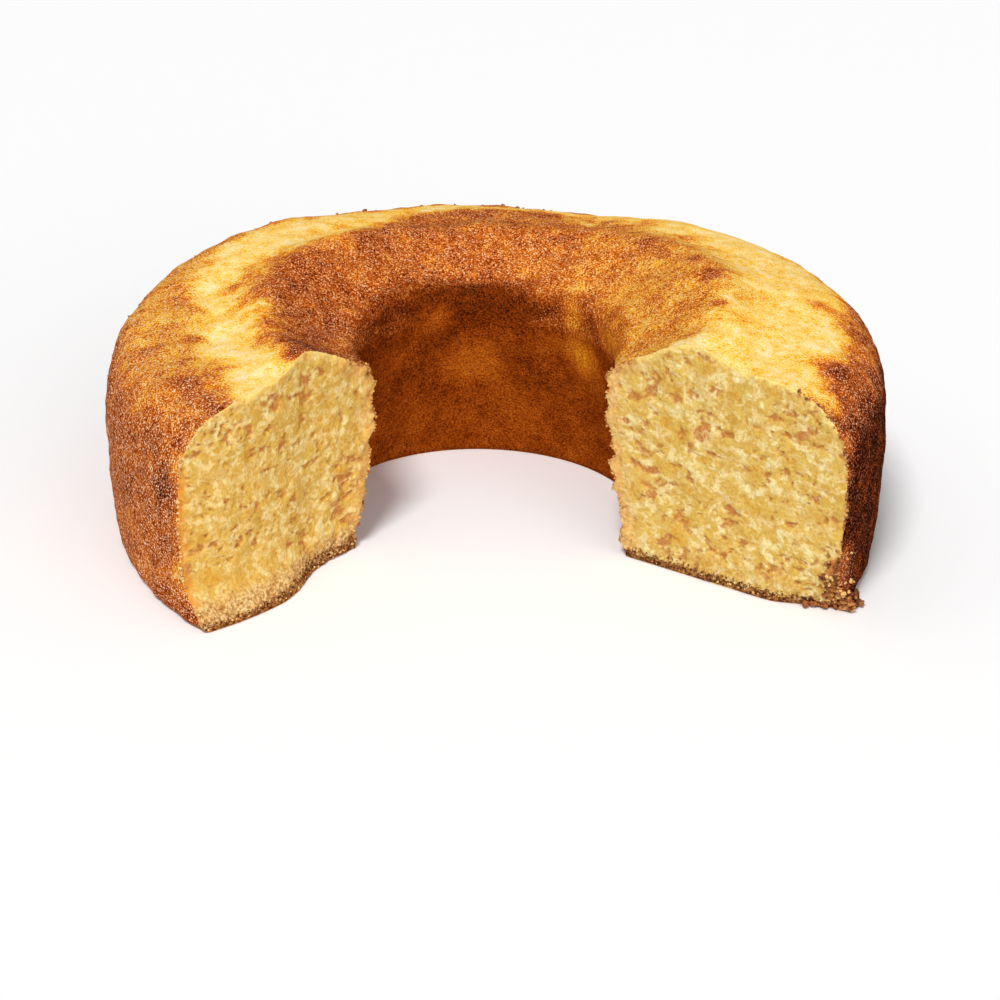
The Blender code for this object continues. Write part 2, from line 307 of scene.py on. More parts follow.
def browning(point, radius, degrees, inner, outer):
    """How brown the bake left this point, from 0, cream, to 1, nearly black."""
    skin = at_angle(SKIN_BROWN, degrees)
    # painted shade: browner just under the hole's lip
    under_lip = smooth(point.z, HOLE_TOP - 0.012, HOLE_TOP + 0.001)
    low_down = 1.0 - smooth(point.z, *LOW_SIDE)
    hole_side = HOLE_BROWN + UNDER_LIP * under_lip - LOW_HOLE * low_down
    skin += (hole_side - skin) * on_hole_side(point, radius, degrees)
    shoulder, wall = (at_angle(WALL_BROWN, degrees, column) for column in (1, 2))
    wall += (shoulder - wall) * smooth(point.z, WALL_TOP, WALL_TOP + SHOULDER_FADE)
    round_band = math.radians(degrees) * BAND_MIDDLE
    along = Vector((round_band / STREAK_SIZE.x, radius / STREAK_SIZE.y, 0.0))
    pale = at_angle(PALE_BROWN, degrees) + PALE_STREAK * noise.fractal(along, 1.0, 2.0, 3)
    brown = pale + (skin - pale) * inner
    brown += (wall - brown) * outer
    for spot in browned_spots:
        middle, reach, change = spot
        away = (point - middle).length
        if away < reach:
            brown += change * (1.0 - smooth(away, SPOT_HEART * reach, reach))
    return brown


browned_spots = [
    (ring_point(degrees, out / 1000, up / 1000), reach / 1000, change)
    for degrees, out, up, reach, change in BROWNED_SPOTS
]

# ---------------------------------------------------------------------------
# The relief: lumps and grain of the skin, thicker where it browned, and on the
# cut faces the torn walls of the crumb's pores, its crumbly foot and its ragged
# edge along the hole.  All of it is moved into the mesh itself.
# ---------------------------------------------------------------------------
SKIN_STEP, STEP_FADE = 0.00030, 0.008       # the brown skin stands this much above the pale
CRUST_LUMP, CRUST_LUMP_SIZE = 0.00045, 0.0075
CRUST_GRAIN, CRUST_GRAIN_SIZE = 0.00022, 0.0026
PALE_GRAIN = 0.00010
CRUMB_LUMP, CRUMB_LUMP_SIZE = 0.00024, 0.0036
CRUMB_TEAR, CRUMB_TEAR_SIZE = 0.00030, 0.0014
SUNK_DEPTH = 0.0008                 # crumb this deep is in full shade
PORE_DEPTH = 0.0005
PORE_SIZE = Vector((0.0040, 0.0040, 0.0027))        # pores lie flat in the sponge
DRIFT_SIZE = Vector((0.012, 0.012, 0.008))          # and gather in drifts
PORE_TEARS = 2.3                    # their torn edges are this much finer
PORE_OPENS = (0.22, 0.66)           # the noise between a whole wall and an open pore
FOOT_TOP = 0.0105                   # the crumbly foot of each cut face
FOOT_TEAR, FOOT_TEAR_SIZE = 0.0007, 0.0019
RAGGED, RAGGED_SIZE = 0.0013, 0.0040        # how ragged the crumb's edge along the hole is
ASIDE = Vector((0.1, 0.0, 0.0))     # where the noise for the other direction is read
SOAK_DEPTH = 0.0040                 # fat and sugar soaked this far in from the wall,
SOAK_TOP = (0.040, 0.050)           # up to here,
RIGHT_SOAK = 0.4                    # and this much as strongly on the right cut
TAN_DEPTH = 0.0075                  # the hole's side dried this far in
RIM_DEPTH = 0.0035                  # under the pale skin the crumb is as pale
BASE_STILL = 0.0006                 # below this nothing moves off the base
TORN_OUT, TORN_UP = (0.1038, 0.1070), (0.010, 0.028)        # where the wall's crust tore off
TORN_TURN, TORN_FROM, TORN_TOP = -29.0, 0.1035, 0.020       # the corner that hangs in crumbs
SINGED_LEFT, SINGED_BY_HOLE, SINGED_RIGHT = 0.0034, 0.0044, 0.0054      # heights over the base
CUT_WIDTH = (0.055, 0.095)          # a cut face's hole side ends and its wall side starts here
EDGE_FOOT = 0.004                   # the edges of a cut face start above its foot
WALL_EDGE = 0.094                   # one lies farther out than this, along the wall
HOLE_EDGE_TOP = 0.057               # one lies below this, along the hole
CROWN_EDGE = 0.052                  # and one above this, along the crown
LEFT_SHOULDER = (140, 175)          # degrees from where its painted highlight grows to where it is full
SHOULDER_OUT = (0.080, 0.095)       # and how far out
SHOULDER_HIGHLIGHT = 0.9                      # how much more gloss and painted highlight it gets there, where the light falls
SCORCH = 0.85                       # how much less gloss and painted highlight the darkest skin gets,
SCORCHED = (0.70, 0.90)             # which is browner than this

SKIN_VALUES = ("brown", "cover", "hole", "sheen")
CRUMB_VALUES = ("soak", "tan", "rim", "pore", "sunk", "torn", "dry", "singed")
layers = {name: sponge.verts.layers.float.new(name) for name in SKIN_VALUES + CRUMB_VALUES}
crumb_corners = {
    corner for face in sponge.faces if face.material_index == CRUMB for corner in face.verts
}
edge_corners = [
    corner for corner in sponge.verts
    if corner in crumb_corners
    and any(face.material_index != CRUMB for face in corner.link_faces)
]


def nearness(corners, reach):
    """A test of how near a point lies to these corners: 1 on them, 0 at reach."""
    tree = kdtree.KDTree(len(corners))
    for place, corner in enumerate(corners):
        tree.insert(corner.co, place)
    tree.balance()
    return lambda point: 1.0 - min(tree.find(point)[2] / reach, 1.0)


def is_wall_edge(corner):
    return ring_place(corner.co)[0] > WALL_EDGE and corner.co.z > EDGE_FOOT


def is_hole_edge(corner):
    return ring_place(corner.co)[0] < HOLE_SIDE and EDGE_FOOT < corner.co.z < HOLE_EDGE_TOP


by_wall = nearness([c for c in edge_corners if is_wall_edge(c)], SOAK_DEPTH)
by_hole = nearness([c for c in edge_corners if is_hole_edge(c)], TAN_DEPTH)
by_rim = nearness([c for c in edge_corners if c.co.z > CROWN_EDGE], RIM_DEPTH)
by_cut = nearness(edge_corners, RIM_DEPTH)


def stretched(point, size):
    """The point measured in these three sizes."""
    return Vector((point.x / size.x, point.y / size.y, point.z / size.z))


def pore(point):
    """How deep in a pore this point of the crumb lies, from 0 to 1."""
    wide = noise.noise(stretched(point, PORE_SIZE))
    torn = noise.fractal(stretched(point, PORE_SIZE) * PORE_TEARS, 1.0, 2.0, 2)
    drift = noise.noise(stretched(point, DRIFT_SIZE))
    return smooth(wide + 0.7 * torn + 0.7 * drift, *PORE_OPENS)


def crumb_rise(point, depth, edge):
    """How far the torn crumb stands out of the knife's cut here."""
    foot = 1.0 - smooth(point.z, 0.5 * FOOT_TOP, FOOT_TOP)
    rise = CRUMB_LUMP * lumps(point, CRUMB_LUMP_SIZE)
    rise += CRUMB_TEAR * lumps(point, CRUMB_TEAR_SIZE)
    rise -= PORE_DEPTH * depth * (1.0 - edge)
    return rise + FOOT_TEAR * foot * lumps(point, FOOT_TEAR_SIZE)


def is_left(degrees):
    """True on the left cut face, and False on the right one."""
    return degrees > 0.0


def torn_crust(point, radius, degrees):
    """1 where the wall's crust tore off the right cut's foot, and 0 elsewhere."""
    if is_left(degrees):
        return 0.0
    return smooth(radius, *TORN_OUT) * (1.0 - smooth(point.z, *TORN_UP))


def inwardness(radius):
    """1 on the hole's side of a cut face and 0 by the wall."""
    return 1.0 - smooth(radius, *CUT_WIDTH)


def singed_height(radius, degrees):
    """How high the base's brown skin shows on a cut face: higher by the hole on the left."""
    if is_left(degrees):
        return SINGED_LEFT + SINGED_BY_HOLE * inwardness(radius)
    return SINGED_RIGHT


def is_torn_corner(radius, degrees, height):
    """True on the right cut's outer corner, where the crust hangs in crumbs."""
    return degrees < TORN_TURN and TORN_FROM < radius and height < TORN_TOP


def skin_rise(point, cover):
    """How far the baked skin stands out of the tin's smooth form here."""
    grain = PALE_GRAIN + (CRUST_GRAIN - PALE_GRAIN) * cover
    rise = CRUST_LUMP * lumps(point, CRUST_LUMP_SIZE) + grain * lumps(point, CRUST_GRAIN_SIZE)
    return rise + SKIN_STEP * (cover - 1.0) * smooth(point.z, WALL_TOP, WALL_TOP + STEP_FADE)


def skin_sheen(brown, hole, radius, degrees):
    """How much gloss and painted highlight the skin gets: none in the hole, which lies in shade, more
    on the lit left shoulder, and little where it is scorched.
    """
    lit_shoulder = 1.0 + SHOULDER_HIGHLIGHT * smooth(degrees, *LEFT_SHOULDER) * smooth(radius, *SHOULDER_OUT)
    return (1.0 - hole) * (1.0 - SCORCH * smooth(brown, *SCORCHED)) * lit_shoulder


def soaked(point, degrees):
    """How much fat and sugar soaked in here from the wall."""
    share = 1.0 if is_left(degrees) else RIGHT_SOAK
    return by_wall(point) * (share * (1.0 - smooth(point.z, *SOAK_TOP)))


def ragged_edge(point, tan):
    """How far the crumb's edge along the hole is pushed sideways here."""
    lumpy = (lumps(point, RAGGED_SIZE, 3), lumps(point + ASIDE, RAGGED_SIZE, 3), 0.0)
    return RAGGED * smooth(tan, 0.3, 0.9) * Vector(lumpy)


def keep(corner, **values):
    """Keep these values at a corner, for the materials to read."""
    for name, value in values.items():
        corner[layers[name]] = value


moves = {}
for corner in sponge.verts:
    point = corner.co.copy()
    radius, degrees = ring_place(point)
    inner, outer = skin_cover(point, radius, degrees)
    cover = max(inner, outer)
    brown = browning(point, radius, degrees, inner, outer)
    hole = on_hole_side(point, radius, degrees)
    sheen = skin_sheen(brown, hole, radius, degrees)
    keep(corner, brown=brown, cover=cover, hole=hole, sheen=sheen, soak=soaked(point, degrees))
    tan = by_hole(point)
    if corner in crumb_corners:
        depth = pore(point)
        rise = crumb_rise(point, depth, by_cut(point))
        keep(corner, tan=tan, rim=by_rim(point), pore=depth, sunk=smooth(-rise, 0.0, SUNK_DEPTH))
        keep(corner, torn=torn_crust(point, radius, degrees), dry=0.0 if is_left(degrees) else 1.0)
        keep(corner, singed=1.0 - smooth(point.z, 0.0, singed_height(radius, degrees)))
    else:
        rise = skin_rise(point, cover)
    move = corner.normal * rise + ragged_edge(point, tan)
    moves[corner] = move * smooth(point.z, 0.0, BASE_STILL)
for corner, move in moves.items():
    corner.co += move
    corner.co.z = max(corner.co.z, cad_low.z)

sponge.normal_update()
inner_corners = crumb_corners.difference(edge_corners)
cut_corners = [
    (corner.co.copy(), corner.normal.copy()) for corner in sponge.verts if corner in inner_corners
]
wall_edge = [corner.co.copy() for corner in edge_corners if is_wall_edge(corner)]
hole_edge = [corner.co.copy() for corner in edge_corners if is_hole_edge(corner)]
torn_corner = [
    corner.co.copy() for corner in sponge.verts
    if is_torn_corner(*ring_place(corner.co), corner.co.z)
]
skin_places = kdtree.KDTree(len(sponge.verts))
for place, corner in enumerate(sponge.verts):
    skin_places.insert(corner.co, place)
skin_places.balance()
cake_mesh = bpy.data.meshes.new("cake_sponge")
sponge.to_mesh(cake_mesh)
sponge.free()
cake_mesh.shade_smooth()
cake = bpy.data.objects.new("cake_sponge", cake_mesh)
bpy.context.scene.collection.objects.link(cake)

# ---------------------------------------------------------------------------
# The finish of baked sponge: fine grain everywhere, a skin that goes from cream
# over amber to dark brown as it bakes, and open yellow crumb inside.  The grain
# is one node group, used by every surface of the cake with its own sizes.
# ---------------------------------------------------------------------------
COARSER = 0.3                       # the coarse noise has this share of the fine one's scale
BUBBLE_SCALE = 0.9                  # and the bubbles this
STIR = 0.0004                       # how far the bubbles are stirred out of round
GRAIN_DEPTH = 0.0008                # how deep the grain of skin and crumb is
BASE_GRAIN_DEPTH = 0.0005
SKIN_GRAIN, CRUMB_GRAIN, BASE_GRAIN = 0.00048, 0.00090, 0.00120
ISLANDS, ISLAND_SIZE = 1.0, 0.0085  # how far the brown wanders in islands
PATCHES, PATCH_SIZE = 0.44, 0.0030  # and in small patches
SHORE = 3.2                         # along the brown's shores it wanders this much more
GRAIN_BROWN = -0.64                 # below 0, because high grains stay paler
FLAT = (1.0, 1.0, 1.25)             # the crumb's tears lie flat, as its pores do
FOOT_EDGE, FOOT_FADE = 0.0090, 0.006        # where the foot's dry look ends, and how softly
FOOT_BREAK, FOOT_BREAK_SIZE = 0.006, 0.004  # how far its edge is broken up
WHITE = (1.0, 1.0, 1.0, 1.0)
HOLE_TINT = (0.93, 1.03, 0.68, 1.0)         # the hole's side is a deeper orange
SUNK_TINT = (1.0, 0.86, 0.68, 1.0)          # light comes warm out of deep crumb
HOLLOW_TINT = (0.90, 0.80, 0.66, 1.0)       # and out of the hollows of its grain
RIGHT_CUT_TINT = (0.94, 1.02, 1.16, 1.0)          # the right cut's crumb is a little less red and bluer


def linear(red, green, blue):
    """A colour given as it looks on a screen, 0 to 255, as Blender wants it."""
    parts = []
    for value in (red, green, blue):
        share = value / 255
        parts.append(share / 12.92 if share <= 0.04045 else ((share + 0.055) / 1.055) ** 2.4)
    return (*parts, 1.0)


PAINTED_SHEEN, PAINTED_GLINT = linear(252, 206, 166), linear(255, 240, 210)       # painted highlights: a peach sheen and white glints in the skin's colour
DEEP_CRUMB, PALE_CRUMB, GOLD_CRUMB = linear(218, 177, 84), linear(236, 214, 150), linear(214, 165, 68)
PORE_SHADE = linear(194, 128, 72)
RIM_CREAM, DRIED_TAN, SOAKED_AMBER = linear(240, 208, 122), linear(226, 176, 102), linear(224, 152, 56)
FOOT_DARK, FOOT_PALE = linear(184, 138, 80), linear(228, 196, 138)
SINGED_DARK, SINGED_PALE = linear(86, 42, 14), linear(172, 114, 58)
RIPPED_DARK, RIPPED_PALE = linear(104, 54, 20), linear(204, 130, 58)
TIN_BROWN, TIN_TAN = linear(170, 100, 48), linear(206, 138, 72)     # as the tin's floor left it


def add_node(tree, kind, **settings):
    """A new node; settings named after a socket fill it, the others set the node."""
    node = tree.nodes.new("ShaderNode" + kind)
    for name, value in settings.items():
        socket = node.inputs.get(name.replace("_", " ")) if name[0].isupper() else None
        if socket is None:
            setattr(node, name, value)
        else:
            socket.default_value = value
    return node


def math_node(tree, operation, first, second):
    """first operation second, where each is a socket or a number."""
    node = add_node(tree, "Math", operation=operation)
    for place, value in enumerate((first, second)):
        if isinstance(value, (int, float)):
            node.inputs[place].default_value = value
        else:
            tree.links.new(value, node.inputs[place])
    return node.outputs[0]


def plus(tree, first, second):
    return math_node(tree, "ADD", first, second)


def times(tree, first, second):
    return math_node(tree, "MULTIPLY", first, second)


def rest(tree, share):
    """What this share leaves of 1."""
    return math_node(tree, "SUBTRACT", 1.0, share)


def swing(tree, value, middle, amount):
    """A value's swing about its middle, made this much larger."""
    return times(tree, math_node(tree, "SUBTRACT", value, middle), amount)


def ease(tree, value, start, end):
    """The value eased from 0 at start to 1 at end."""
    node = add_node(tree, "MapRange", interpolation_type="SMOOTHSTEP")
    tree.links.new(value, node.inputs["Value"])
    node.inputs["From Min"].default_value = start
    node.inputs["From Max"].default_value = end
    return node.outputs["Result"]


def blend(tree, share, first, second):
    """A colour between first and second, each a socket or a colour."""
    node = add_node(tree, "Mix", data_type="RGBA")
    tree.links.new(share, node.inputs["Factor"])
    for socket, value in ((node.inputs[6], first), (node.inputs[7], second)):
        if isinstance(value, tuple):
            socket.default_value = value
        else:
            tree.links.new(value, socket)
    return node.outputs[2]


def speckle(tree, place, size, detail=2.0, stretch=None):
    """Noise from 0 to 1 with specks of this size, stretched if asked."""
    if stretch:
        mapping = add_node(tree, "Mapping", Scale=stretch)
        tree.links.new(place, mapping.inputs["Vector"])
        place = mapping.outputs["Vector"]
    node = add_node(tree, "TexNoise", Scale=1.0 / size, Detail=detail, Roughness=0.6)
    tree.links.new(place, node.inputs["Vector"])
    return node.outputs["Fac"]


def attribute(tree, name):
    """One of the values kept at the corners of the mesh."""
    return add_node(tree, "Attribute", attribute_name=name).outputs["Fac"]


def own_place(tree):
    """Where a point lies, in the cake's own frame."""
    return add_node(tree, "TexCoord").outputs["Object"]


def grain_group():
    """The grain of baked sponge: its height, with blown bubbles if asked, and its mottle."""
    group = bpy.data.node_groups.new("baked_grain", "ShaderNodeTree")
    for name, value in (("Size", 0.001), ("Coarse", 0.4), ("Bubbles", 0.0)):
        socket = group.interface.new_socket(name, in_out="INPUT", socket_type="NodeSocketFloat")
        socket.default_value = value
    for name in ("Height", "Mottle"):
        group.interface.new_socket(name, in_out="OUTPUT", socket_type="NodeSocketFloat")
    inlet = group.nodes.new("NodeGroupInput")
    outlet = group.nodes.new("NodeGroupOutput")
    place = own_place(group)
    scale = math_node(group, "DIVIDE", 1.0, inlet.outputs["Size"])
    fine = add_node(group, "TexNoise", Detail=1.0, Roughness=0.6)
    coarse = add_node(group, "TexNoise", Detail=2.0, Roughness=0.55)
    bubbles = add_node(group, "TexVoronoi", feature="SMOOTH_F1", Smoothness=0.5)
    stirred = add_node(group, "VectorMath", operation="MULTIPLY_ADD")
    stirred.inputs[1].default_value = (STIR, STIR, STIR)
    group.links.new(fine.outputs["Color"], stirred.inputs[0])
    group.links.new(place, stirred.inputs[2])
    for node, where, size in (
        (fine, place, scale),
        (coarse, place, times(group, scale, COARSER)),
        (bubbles, stirred.outputs[0], times(group, scale, BUBBLE_SCALE)),
    ):
        group.links.new(where, node.inputs["Vector"])
        group.links.new(size, node.inputs["Scale"])
    coarse_part = times(group, coarse.outputs["Fac"], inlet.outputs["Coarse"])
    height = plus(group, fine.outputs["Fac"], coarse_part)
    blown = times(group, bubbles.outputs["Distance"], inlet.outputs["Bubbles"])
    height = math_node(group, "SUBTRACT", height, blown)
    group.links.new(height, outlet.inputs["Height"])
    group.links.new(coarse.outputs["Fac"], outlet.inputs["Mottle"])
    return group


baked_grain = grain_group()


def place_grain(tree, size, coarse, bubbles=0.0):
    """The grain group in a material, with this size and this much of each."""
    node = tree.nodes.new("ShaderNodeGroup")
    node.node_tree = baked_grain
    node.inputs["Size"].default_value = size
    node.inputs["Coarse"].default_value = coarse
    node.inputs["Bubbles"].default_value = bubbles
    return node


def new_material(name, roughness):
    """A material, its tree, and its shader."""
    material = bpy.data.materials.new(name)
    material.use_nodes = True
    shader = material.node_tree.nodes["Principled BSDF"]
    shader.inputs["Roughness"].default_value = roughness
    return material, material.node_tree, shader


def bump(tree, shader, height, strength, distance):
    """Feed a height to the shader's normal."""
    node = add_node(tree, "Bump", Strength=strength, Distance=distance)
    tree.links.new(height, node.inputs["Height"])
    tree.links.new(node.outputs["Normal"], shader.inputs["Normal"])


BAKE_COLOURS = (                    # how brown, and the skin's colour
    (0.00, linear(254, 234, 192)),
    (0.10, linear(252, 221, 152)),
    (0.19, linear(250, 210, 106)),
    (0.26, linear(247, 197, 69)),
    (0.34, linear(243, 174, 44)),
    (0.42, linear(236, 145, 36)),
    (0.49, linear(221, 119, 35)),
    (0.58, linear(191, 97, 30)),
    (0.68, linear(170, 75, 22)),
    (0.78, linear(138, 55, 13)),
    (0.89, linear(92, 34, 11)),
    (1.00, linear(42, 17, 10)),
)


def colour_ramp(tree, share, stops):
    """The colour at this share of the stops."""
    ramp = tree.nodes.new("ShaderNodeValToRGB")
    elements = ramp.color_ramp.elements
    elements[0].position, elements[0].color = stops[0]
    elements[1].position, elements[1].color = stops[-1]
    for position, colour in stops[1:-1]:
        elements.new(position).color = colour
    tree.links.new(share, ramp.inputs["Fac"])
    return ramp.outputs["Color"]


def tint(tree, colour, shade):
    """One colour multiplied by another."""
    node = add_node(tree, "Mix", data_type="RGBA", blend_type="MULTIPLY")
    node.inputs["Factor"].default_value = 1.0
    tree.links.new(colour, node.inputs[6])
    tree.links.new(shade, node.inputs[7])
    return node.outputs[2]


def two_tone(tree, place, size, span, dark, light, detail=3.0, stretch=None):
    """Specks of this size, from dark to light over this span of the noise."""
    specks = speckle(tree, place, size, detail, stretch)
    return blend(tree, ease(tree, specks, *span), dark, light)


def patched(tree, colour, name, uneven, onset, span, shade):
    """The colour turned to this shade where a kept value is high, with an uneven edge."""
    kept = attribute(tree, name)
    share = times(tree, plus(tree, kept, uneven), ease(tree, kept, 0.0, onset))
    return blend(tree, ease(tree, share, *span), colour, shade)


def skin_tone(tree, height, cover, hole):
    """How brown the skin is here: the bake, with its islands, patches and grains."""
    place = own_place(tree)
    sheltered = rest(tree, times(tree, hole, 0.48))
    open_air = rest(tree, times(tree, hole, 0.60))
    shore = times(tree, times(tree, cover, rest(tree, cover)), SHORE)
    loose = plus(tree, shore, plus(tree, times(tree, cover, 0.20), 0.36))
    islands = swing(tree, speckle(tree, place, ISLAND_SIZE, 7.0), 0.5, ISLANDS)
    islands = times(tree, times(tree, islands, sheltered), loose)
    patches = swing(tree, speckle(tree, place, PATCH_SIZE, 4.0), 0.5, PATCHES)
    tone = plus(tree, attribute(tree, "brown"), islands)
    tone = plus(tree, tone, times(tree, patches, open_air))
    strength = plus(tree, times(tree, cover, 0.40), 0.75)
    grains = times(tree, swing(tree, height, 0.36, GRAIN_BROWN), strength)
    return plus(tree, tone, times(tree, grains, sheltered))


def browned_skin():
    """Caramelised batter, with a painted sheen and painted glints on its grain, the glints also
    clear-coated.
    """
    material, tree, shader = new_material("browned_skin", 0.5)
    shader.inputs["Specular IOR Level"].default_value = 0.0
    shader.inputs["Coat Roughness"].default_value = 0.25
    shader.inputs["Coat IOR"].default_value = 1.4
    height = place_grain(tree, SKIN_GRAIN, 0.30, 0.7).outputs["Height"]
    cover, hole, sheen = (attribute(tree, name) for name in ("cover", "hole", "sheen"))
    colour = colour_ramp(tree, skin_tone(tree, height, cover, hole), BAKE_COLOURS)
    # painted sheen: a peach highlight painted onto the grain
    painted_sheen = times(tree, ease(tree, height, 0.34, 0.62), sheen)
    colour = blend(tree, times(tree, painted_sheen, 0.46), colour, PAINTED_SHEEN)
    # painted glints: white highlights painted onto the grain's tops, which also get a clear coat
    glint = times(tree, ease(tree, height, 0.52, 0.70), sheen)
    colour = blend(tree, times(tree, glint, 0.80), colour, PAINTED_GLINT)
    colour = tint(tree, colour, blend(tree, hole, WHITE, HOLE_TINT))
    tree.links.new(colour, shader.inputs["Base Color"])
    tree.links.new(plus(tree, swing(tree, height, 0.30, -0.4), 0.5), shader.inputs["Roughness"])
    tree.links.new(times(tree, glint, 0.5), shader.inputs["Coat Weight"])
    raised = plus(tree, times(tree, cover, 0.85), 0.30)
    bump(tree, shader, times(tree, height, raised), 0.7, GRAIN_DEPTH)
    return material


def on_foot(tree, place):
    """1 on the crumbly foot of a cut face and 0 above, with a broken edge."""
    up = add_node(tree, "SeparateXYZ")
    tree.links.new(place, up.inputs["Vector"])
    broken = swing(tree, speckle(tree, place, FOOT_BREAK_SIZE, 3.0), 0.5, FOOT_BREAK)
    return ease(tree, plus(tree, up.outputs["Z"], broken), FOOT_EDGE, FOOT_EDGE - FOOT_FADE)


def open_crumb():
    """Soft yellow sponge with torn pores, soaked amber near the wall."""
    material, tree, shader = new_material("open_crumb", 0.85)
    shader.inputs["Specular IOR Level"].default_value = 0.15
    shader.inputs["Subsurface Weight"].default_value = 0.5
    shader.inputs["Subsurface Radius"].default_value = (1.0, 0.65, 0.3)
    shader.inputs["Subsurface Scale"].default_value = 0.003
    grain = place_grain(tree, CRUMB_GRAIN, 0.8).outputs["Height"]
    place = own_place(tree)
    colour = two_tone(tree, place, 0.0030, (0.44, 0.60), DEEP_CRUMB, PALE_CRUMB, 5.0, FLAT)
    colour = two_tone(tree, place, 0.0060, (0.52, 0.66), colour, GOLD_CRUMB, 3.0, FLAT)
    flecks = swing(tree, speckle(tree, place, 0.0013, 3.0), 0.5, 2.2)
    flecks = plus(tree, attribute(tree, "pore"), flecks)
    colour = blend(tree, ease(tree, flecks, 0.25, 1.35), colour, PORE_SHADE)
    uneven = swing(tree, speckle(tree, place, 0.0020, 3.0), 0.5, 1.6)
    for name, span, shade in (
        ("rim", (0.3, 1.1), RIM_CREAM),
        ("tan", (0.2, 1.0), DRIED_TAN),
        ("soak", (0.2, 1.0), SOAKED_AMBER),
    ):
        colour = patched(tree, colour, name, uneven, 0.15, span, shade)
    dry = attribute(tree, "dry")
    foot_share = rest(tree, times(tree, dry, 0.75))
    crumbly = two_tone(tree, place, 0.0009, (0.40, 0.60), FOOT_DARK, FOOT_PALE)
    colour = blend(tree, times(tree, on_foot(tree, place), foot_share), colour, crumbly)
    sooty = two_tone(tree, place, 0.0008, (0.42, 0.62), SINGED_DARK, SINGED_PALE)
    gritty = swing(tree, speckle(tree, place, 0.0010, 3.0), 0.5, 2.4)
    colour = patched(tree, colour, "singed", gritty, 0.2, (0.40, 0.70), sooty)
    colour = tint(tree, colour, blend(tree, attribute(tree, "sunk"), WHITE, SUNK_TINT))
    ripped = two_tone(tree, place, 0.0022, (0.40, 0.60), RIPPED_DARK, RIPPED_PALE)
    colour = patched(tree, colour, "torn", uneven, 0.15, (0.25, 0.65), ripped)
    colour = tint(tree, colour, blend(tree, ease(tree, grain, 0.70, 1.10), HOLLOW_TINT, WHITE))
    colour = tint(tree, colour, blend(tree, dry, WHITE, RIGHT_CUT_TINT))
    tree.links.new(colour, shader.inputs["Base Color"])
    bump(tree, shader, grain, 0.5, GRAIN_DEPTH)
    return material


def baked_base():
    """The underside's skin, which the tin's floor browned evenly."""
    material, tree, shader = new_material("baked_base", 0.7)
    grain = place_grain(tree, BASE_GRAIN, 0.8)
    colour = blend(tree, grain.outputs["Mottle"], TIN_BROWN, TIN_TAN)
    tree.links.new(colour, shader.inputs["Base Color"])
    bump(tree, shader, grain.outputs["Height"], 0.4, BASE_GRAIN_DEPTH)
    return material


for material in (browned_skin(), open_crumb(), baked_base()):     # as CRUST, CRUMB and BASE
    cake_mesh.materials.append(material)
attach(cake, "root")
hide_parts("ring_cake")

# ---------------------------------------------------------------------------
# The crumbs that cling to the cuts: the knife tore them loose and pressed them
# back, most of them along the foot, and bits of the wall's crust broke off at the
# right foot.  Each is a small rough lump, half sunk into the sponge.
# ---------------------------------------------------------------------------
CLINGING_SEED = 7
FOOT_CRUMBS = 1500
HOLE_CRUMBS = 240
WALL_CRUMBS = 200
TORN_CRUMBS = 260
CRUMB_SIZES = (0.00020, 0.00048)    # their half widths
LUMP_SPANS = ((0.8, 1.3), (0.8, 1.3), (0.6, 1.0))   # a lump's width, depth and height against it
LUMP_ROUGH, LUMP_ROUGH_SIZE = 0.8, 0.9
LUMP_GRAIN = 0.0008
APART = 40                          # lumps read the same noise, up to this far apart
CRUMB_SIDES, SCRAP_SIDES = 6, 16    # how many sides a lump has round its middle
EDGE_STRAY = 0.0008                 # how far they stray up or down from an edge
FOOT_LOWEST, FOOT_HEIGHT = 0.0004, 0.006    # crumbs cling between these, fewer the higher
RIGHT_SPARSE = 0.6                  # and this many fewer at the right cut
FOOT_SHADES = (0.2, 0.45)           # how brown they are
BROWNER = 0.4                       # and up to this much browner by the hole, and low down
SINGED_BELOW = 0.003                # that is, lower than this
TORN_SIZES = (0.00040, 0.00110)     # half widths at the torn corner
TORN_SHADES = (0.36, 0.60, 0.72, 0.82, 0.92)        # and how brown the crumbs are there
HOLE_SHADES, WALL_SHADES = (0.35, 0.75), (0.1, 0.6)         # those along the two edges
RIGHT_WALL_SHADE = 0.3              # browner still along the right cut's wall
SCRAP_SHADES, FLAKE_SHADES = (0.68, 0.95), (0.5, 0.8)
RIM_FLAKES = 90                     # flakes that lift off the crust of the shoulder
FLAKE_SIZES = (0.00025, 0.00065)    # their half widths
FLAKE_TURN = (60.0, 226.0)          # degrees between which they lie
FLAKE_OUT, FLAKE_UP = (0.098, 0.108), (0.036, 0.058)
SCRAPS = (                          # bits of crust: degrees, and out, up and half width in mm
    (-30.2, 104.6, 1.3, 1.6), (-29.4, 107.2, 1.4, 1.7), (-28.6, 109.4, 1.5, 1.6),
    (-28.3, 111.2, 1.1, 1.1), (-29.8, 105.4, 3.8, 1.3), (-29.2, 107.8, 3.8, 1.3),
    (-28.8, 109.4, 4.0, 1.1), (-31.4, 103.0, 1.1, 1.2), (-32.2, 101.0, 1.0, 1.0),
    (-33.0, 99.2, 0.9, 0.9),
)

clinging = random.Random(CLINGING_SEED)


def plain_ball(sides):
    """A ball of half width 1: its corners, and the places of each face's corners."""
    ball = bmesh.new()
    bmesh.ops.create_uvsphere(ball, u_segments=sides, v_segments=sides - 1, radius=1.0)
    ordered = sorted(ball.verts, key=lambda corner: tuple(corner.co))
    places = {corner: place for place, corner in enumerate(ordered)}
    corners = [corner.co.copy() for corner in ordered]
    faces = sorted([places[corner] for corner in face.verts] for face in ball.faces)
    ball.free()
    return corners, faces


